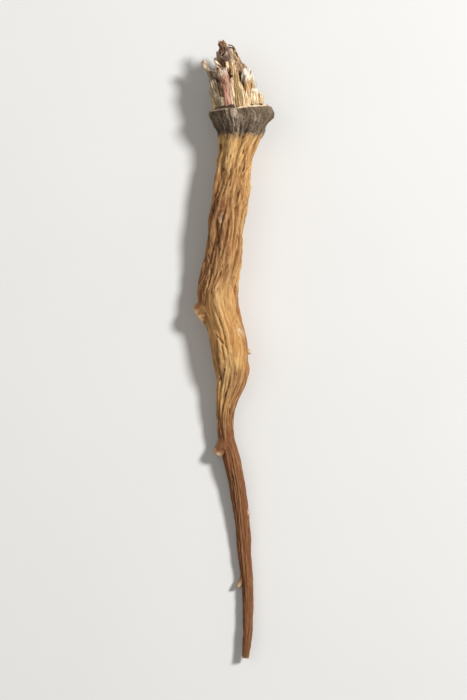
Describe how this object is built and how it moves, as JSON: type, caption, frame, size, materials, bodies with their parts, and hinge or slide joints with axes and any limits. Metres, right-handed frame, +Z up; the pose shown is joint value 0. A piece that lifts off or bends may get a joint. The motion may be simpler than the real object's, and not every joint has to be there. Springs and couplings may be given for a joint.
{
  "type": "dandelion root",
  "caption": "Dried dandelion taproot lying on its side, with a wrinkled body, a dark collar, a crown of broken leaf-stalk stubs, snapped side roots and a tapering tail.",
  "frame": {"origin": "on the surface that the root lies on, under the middle of its bounding box", "axes": "+Z up from the surface, +Y along the root towards its crown, +X to the right when the root is seen from above with its crown at the top"},
  "size_m": [0.016, 0.1192, 0.0111],
  "materials": {
    "bark": "dry, wrinkled and matt"
  },
  "bodies": {
    "root": {"dandelion_root": "bark"}
  },
  "joints": []
}
